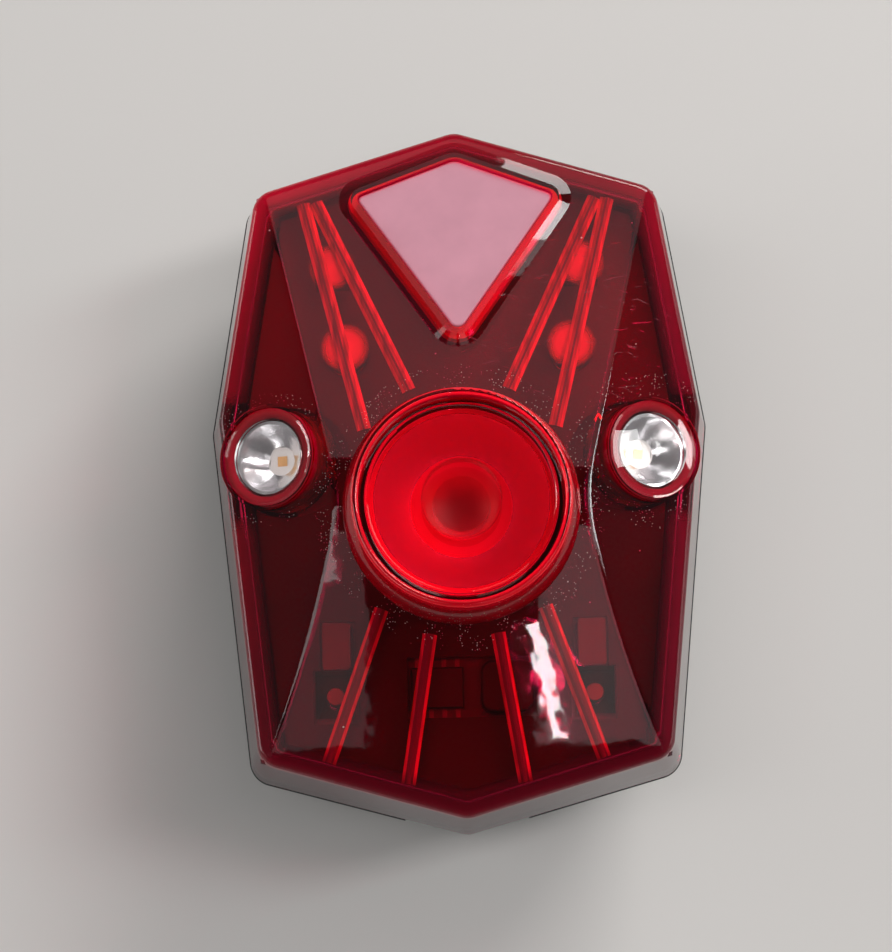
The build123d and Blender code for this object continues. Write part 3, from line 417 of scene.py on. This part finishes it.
def edgeTone(x, y):
    # painted light: brightest at the top left corner, dim along the bottom and dimmer toward the right
    upper = min(1, max(0, (y - edge["toneFrom"]) / edge["toneRun"]))
    offCorner = (abs(x) - edge["cornerX"]) ** 2 + (y - edge["cornerY"]) ** 2
    corner = edge["cornerTone"] * math.exp(-offCorner / edge["cornerSpread"])
    tone = edge["lowTone"] + (edge["topTone"] - edge["lowTone"]) * upper + corner
    return tone * (1 - edge["rightDrop"] * min(1, max(0, x / edge["dropRun"])))


def lampClear(x, y, z):
    # true where a spot keeps clear of the tubes of the side lamps
    return abs(y - edge["lampY"]) > edge["lampRoom"] or abs(x) < edge["lampX"] or z < edge["lampLow"]


def besideLamp(x, y, z):
    # 0 beside the tube of a side lamp, rising to 1 away from it and below it
    if abs(x) < edge["lampX"]:
        return 1
    away = (abs(y - edge["lampY"]) - edge["lampRoom"]) / edge["lampFade"]
    under = (edge["lampLow"] - z) / edge["lampFade"]
    return min(1, max(0, away, under))


def paint(piece, layerName, values):
    layer = piece.data.color_attributes.new(layerName, "FLOAT_COLOR", "POINT")
    for spot, value in zip(layer.data, values):
        spot.color = (value, value, value, 1)


# painted light: the ledge and the wall band are red sheets whose brightness is painted in their tone layer
glowRed, tree, out = newMaterial("painted red edge glow")
body = shiny(tree, (0.62, 0.008, 0.06), 0.5)
painted = tree.nodes.new("ShaderNodeAttribute")
painted.attribute_name = "tone"
edgeTones = [(0.0, (0.030, 0.001, 0.006)), (0.3, (0.17, 0.002, 0.030)), (1.0, (0.56, 0.002, 0.160))]
tree.links.new(ramp(tree, painted.outputs["Fac"], edgeTones), body.inputs["Base Color"])
clear = tree.nodes.new("ShaderNodeBsdfTransparent")
hiding = tree.nodes.new("ShaderNodeAttribute")
hiding.attribute_name = "hiding"
shown = mixed(tree, hiding.outputs["Fac"], clear.outputs["BSDF"], body.outputs["BSDF"])
tree.links.new(shown, out.inputs["Surface"])

rings, tones, hides = [], [], []
for inset, tone, hide in zip(edge["ledgeInsets"], edge["ledgeTones"], edge["ledgeCover"]):
    ring = []
    for spot in insetLoop(inset + wallInset(cover["seam"] + edge["ledgeRise"])):
        z = roofHeight(spot.x, spot.y) - cover["roof"] + edge["ledgeUp"]
        ring.append((spot.x, spot.y, z))
        tones.append(tone * edgeTone(spot.x, spot.y))
        hides.append(hide * besideLamp(spot.x, spot.y, z))
    rings.append(ring)
points, faces = skinRings(rings, closed=False)
faces = [f for f in faces if all(lampClear(*points[i]) for i in f)]
ledge = meshPiece("painted_glow_ledge", points, faces, [glowRed], "front")
paint(ledge, "tone", tones)
paint(ledge, "hiding", hides)

rings, tones, hides = [], [], []
for depth in (-edge["bury"], edge["thick"]):
    for level in range(edge["levels"]):
        share = level / (edge["levels"] - 1)
        if depth > 0:
            share = 1 - share
        base = insetLoop(cover["wall"])
        ring = []
        for k, spot in enumerate(base):
            top = roofHeight(spot.x, spot.y) - cover["roof"] - edge["wallBelow"]
            low = cover["seam"] + edge["low"]
            z = low + share * (top - low)
            leaning = insetLoop(cover["wall"] + wallInset(z) + depth)[k]
            ring.append((leaning.x, leaning.y, z))
            # painted shade: the wall band darkens toward its foot
            upward = edge["wallFoot"] + (1 - edge["wallFoot"]) * share
            tones.append(edge["wallTone"] * edgeTone(spot.x, spot.y) * upward)
            hides.append(besideLamp(spot.x, spot.y, z))
        rings.append(ring)
points, faces = skinRings(rings)
faces = [f for f in faces if all(lampClear(*points[i]) for i in f)]
wallBand = meshPiece("painted_glow_wall", points, faces, [glowRed], "front")
paint(wallBand, "tone", tones)
paint(wallBand, "hiding", hides)
print("painted edge glow built")

# Painted light for the rays in the grooves of the roof: red strips with bright flanks, darker shoulders and a
# dark middle, painted light and shade for the light the grooves catch
rays = {
    "upper": [((14.7, 26.1), (9.05, 3.4)), ((13.5, 26.2), (4.75, 7.15))],
    "low": [((7.7, -13.5), (12.9, -27.6)), ((3.2, -15.9), (5.5, -29.7))],
    "upperHalf": 0.675, "lowHalf": 0.675, "topHalf": 0.1, "bury": 0.03, "sink": 0.3, "shoulder": 0.5,
}
rayRed, tree, body = solid("painted red ray glow", (0.92, 0.006, 0.07), 0.45)
streaked(tree, body, (0.50, 0.004, 0.035), (0.98, 0.008, 0.08))
rayShoulder, tree, body = solid("ray shoulder shade", (0.50, 0.004, 0.035), 0.5)
streaked(tree, body, (0.22, 0.002, 0.015), (0.60, 0.004, 0.045))
rayDark = solid("dark ray middle", (0.14, 0.002, 0.01), 0.5)[0]
# painted shade: the low rays are darker copies of the upper ones
lowRed, tree, body = solid("darker painted red low ray glow", (0.75, 0.006, 0.05), 0.45)
streaked(tree, body, (0.40, 0.003, 0.025), (0.80, 0.006, 0.055))
lowShoulder = solid("low ray shoulder shade", (0.16, 0.002, 0.012), 0.5)[0]
for group, flank, shoulder in (("upper", rayRed, rayShoulder), ("low", lowRed, lowShoulder)):
    for i, (start, end) in enumerate(rays[group]):
        for name, side in (("left", -1), ("right", 1)):
            half = rays[group + "Half"]
            deep = half - rays["topHalf"]
            middle = rays["topHalf"] + deep * rays["shoulder"]
            rings = []
            for x, y in (start, end):
                under = roofHeight(0, y) - cover["roof"] + rays["bury"]
                along = Vector((side * (end[0] - start[0]), end[1] - start[1], 0)).normalized()
                across = Vector((along.y, -along.x, 0))
                shape = [(-half, -rays["sink"]), (-half, 0), (-middle, half - middle),
                         (-rays["topHalf"], deep)]
                shape += [(-a, b) for a, b in reversed(shape)]
                rings.append([(side * x + across.x * a, y + across.y * a, under + b) for a, b in shape])
            points, faces = skinRings(rings, closed=False)
            faces += [tuple(range(8)), tuple(range(15, 7, -1))]
            marks = [{1: 0, 2: 1, 3: 2, 4: 1, 5: 0}.get(k, 2) for k in range(len(faces))]
            strip = meshPiece(f"{group}_ray_{i + 1}_{name}", points, faces, [flank, shoulder, rayDark],
                              "front", marks)
print("rays built")

# Soft glow in the heads of the posts
posts = {"round": (10.8, 11.6, 2.4), "press": (12.0, 19.7, 2.3), "below": 0.35, "sides": 40}
postGlow, tree, out = newMaterial("soft post glow")
red = shiny(tree, (0.98, 0.010, 0.075), 0.6)
clear = tree.nodes.new("ShaderNodeBsdfTransparent")
coords = tree.nodes.new("ShaderNodeTexCoord")
fromMiddle = tree.nodes.new("ShaderNodeVectorMath")
fromMiddle.operation = "DISTANCE"
tree.links.new(coords.outputs["Generated"], fromMiddle.inputs[0])
fromMiddle.inputs[1].default_value = (0.5, 0.5, 0.5)
share = ramp(tree, fromMiddle.outputs["Value"], [(0.0, 1.0), (0.3, 0.8), (0.5, 0.0)])
tree.links.new(mixed(tree, share, clear.outputs["BSDF"], red.outputs["BSDF"]), out.inputs["Surface"])
for label in ("round", "press"):
    x, y, radius = posts[label]
    for name, side in (("left", -1), ("right", 1)):
        z = roofHeight(x, y) - cover["roof"] - posts["below"]
        ring = circlePoints(side * x, y, z, radius, posts["sides"])
        head = meshPiece(f"{label}_post_glow_{name}", ring, [tuple(range(len(ring)))], [postGlow], "front")

# Painted glow in the turret's wall: a red liner standing in for light carried through the wall
turret = {"y": -4.1, "radius": 9.55, "thick": 0.25, "low": 28.3, "high": 34.75}
coreRed = solid("painted turret wall glow", (0.78, 0.004, 0.09), 0.5)[0]
rings = []
for radius, z in ((turret["radius"], turret["low"]), (turret["radius"] + turret["thick"], turret["low"]),
                  (turret["radius"] + turret["thick"], turret["high"]), (turret["radius"], turret["high"])):
    rings.append(circlePoints(0, turret["y"], z, radius, 96))
points, faces = skinRings(rings)
core = meshPiece("turret_core", points, faces, [coreRed], "front")

# The same painted glow, dimmer, in the tubes of the side lamps, which lean outwards
tube = {"x": 18.2, "y": 1.2, "radius": 3.75, "thick": 0.95, "top": -0.14, "bottom": -3.2}
tubeRed = solid("painted lamp tube glow", (0.26, 0.022, 0.06), 0.5)[0]
lean = math.atan(cover["sideSlope"])
smooth = [core, wallBand, ledge]
for name, side in (("left", -1), ("right", 1)):
    axis = Vector((side * math.sin(lean), 0, math.cos(lean)))
    middle = Vector((side * tube["x"], tube["y"], roofHeight(tube["x"], tube["y"])))
    across = Vector((axis.z, 0, -axis.x))
    ahead = axis.cross(across)
    rings = []
    for radius, along in ((tube["radius"], tube["bottom"]), (tube["radius"] + tube["thick"], tube["bottom"]),
                          (tube["radius"] + tube["thick"], tube["top"]), (tube["radius"], tube["top"])):
        ring = []
        for x, y, z in circlePoints(0, 0, along, radius, 72):
            ring.append(middle + across * x + ahead * y + axis * z)
        rings.append(ring)
    points, faces = skinRings(rings)
    glow = meshPiece(f"lamp_tube_glow_{name}", points, faces, [tubeRed], "front")
    smooth.append(glow)
for piece in smooth:
    for face in piece.data.polygons:
        face.use_smooth = True
print("glow pieces built")

# Floor and light
lighting = {"floorTone": (0.70, 0.68, 0.66), "floorSize": 3.0}
bpy.ops.mesh.primitive_plane_add(size=lighting["floorSize"], location=(0, 0, -0.0001))
floor = bpy.context.object
floor.name = "floor"
floorMat = solid("pale floor", lighting["floorTone"], 0.6)[0]
floor.data.materials.append(floorMat)

world = bpy.data.worlds.new("studio")
bpy.context.scene.world = world
world.use_nodes = True
tree = world.node_tree
tree.nodes.clear()
out = tree.nodes.new("ShaderNodeOutputWorld")
shade = tree.nodes.new("ShaderNodeBackground")
where = tree.nodes.new("ShaderNodeTexCoord")
split = tree.nodes.new("ShaderNodeSeparateXYZ")
tree.links.new(where.outputs["Generated"], split.inputs["Vector"])
sky = ramp(tree, split.outputs["Z"], [(0.0, 0.30), (0.35, 0.16), (0.8, 0.08), (1.0, 0.03)])
tree.links.new(sky, shade.inputs["Color"])
shade.inputs["Strength"].default_value = 1.0
tree.links.new(shade.outputs["Background"], out.inputs["Surface"])


def softBox(name, toward, distance, size, radiance, tone=(1, 1, 1), level=False, turn=0):
    # an area lamp that faces the part; its energy follows from its radiance
    place = Vector(toward).normalized() * distance
    data = bpy.data.lights.new(name, "AREA")
    data.shape = "RECTANGLE"
    data.size, data.size_y = size
    data.energy = radiance * math.pi * size[0] * size[1]
    data.color = tone
    lamp = bpy.data.objects.new(name, data)
    bpy.context.collection.objects.link(lamp)
    lamp.location = place
    if level:
        outward = place.normalized()
        across = (Vector((1, 0, 0)) - outward * outward.x).normalized()
        base = Matrix((across, outward.cross(across), outward)).transposed()
        lamp.rotation_euler = (base @ Matrix.Rotation(math.radians(turn), 3, "Z")).to_euler()
    else:
        lamp.rotation_euler = (-place).to_track_quat("-Z", "Y").to_euler()


softBox("ceiling", (0.26, 0.42, 1.0), 1.3, (1.0, 0.46), 0.6, (1.0, 0.92, 0.93))
softBox("key window", (0.605, 1.0, 0.75), 1.0, (0.6, 0.4), 8.0, (1.0, 0.98, 0.96))
softBox("left fill", (-1.0, 0.1, 0.25), 1.0, (0.5, 0.4), 3.0)
softBox("right fill", (1.0, 0.1, 0.25), 1.0, (0.5, 0.4), 1.4)
softBox("right of camera", (0.17, -0.17, 1.0), 0.8, (0.20, 0.26), 0.9, level=True)
softBox("left of camera", (-0.17, -0.17, 1.0), 0.8, (0.20, 0.26), 0.5, level=True)
softBox("overhead left", (-0.34, 0.0, 1.0), 0.9, (0.22, 0.5), 2.5)
softBox("overhead right", (0.42, 0.1, 1.0), 0.9, (0.18, 0.5), 2.0)
softBox("right window", (0.80, 0.185, 1.0), 1.0, (0.16, 0.34), 11.0)
softBox("strip", (0.046, -0.255, 1.0), 0.8, (0.0055, 0.12), 22.0, level=True, turn=4)

# Camera
shot = {"aim": (-1.4, 0.65, 17.0), "distance": 255.0, "tilt": 9.0, "roll": -1.15, "focalPixels": 2585.7,
        "imageHeight": 952, "sensor": 24.0}
tilt = math.radians(shot["tilt"])
roll = math.radians(shot["roll"])
back = Vector((0, -math.sin(tilt), math.cos(tilt)))
right = Vector((1, 0, 0))
up = back.cross(right)
camRight = right * math.cos(roll) + up * math.sin(roll)
camUp = up * math.cos(roll) - right * math.sin(roll)
camData = bpy.data.cameras.new("camera")
camData.sensor_fit = "VERTICAL"
camData.sensor_height = shot["sensor"]
camData.lens = shot["focalPixels"] / shot["imageHeight"] * shot["sensor"]
camData.clip_start = 0.01
camera = bpy.data.objects.new("camera", camData)
bpy.context.collection.objects.link(camera)
place = (Vector(shot["aim"]) + back * shot["distance"]) * mm
camera.matrix_world = Matrix.Translation(place) @ Matrix((camRight, camUp, back)).transposed().to_4x4()
bpy.context.scene.camera = camera
bpy.context.scene.view_settings.view_transform = "Standard"
print("camera and light set")
